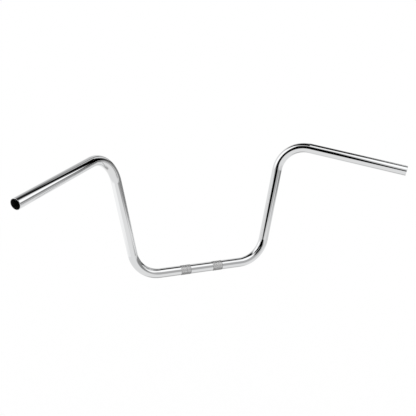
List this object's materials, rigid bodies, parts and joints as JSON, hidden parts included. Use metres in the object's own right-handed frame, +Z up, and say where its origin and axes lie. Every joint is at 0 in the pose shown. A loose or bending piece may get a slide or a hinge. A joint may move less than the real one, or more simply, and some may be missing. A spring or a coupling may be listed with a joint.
{
  "type": "ape hanger handlebar",
  "caption": "Chromed steel tube handlebar with tall uprights, swept-back grip ends and knurled clamp bands; carries a motorcycle's grips and controls high above its risers.",
  "frame": {"origin": "on the axis of the straight clamp section, midway between the knurled bands", "axes": "+X to the rider's right along the clamp section, +Y forward, +Z up the rise; the grips point back towards -Y"},
  "size_m": [0.9568, 0.236, 0.3355],
  "materials": {
    "chrome": "bright chrome plate on polished steel tube, satin where it is knurled"
  },
  "bodies": {
    "root": {"handlebar": "chrome"}
  },
  "joints": []
}
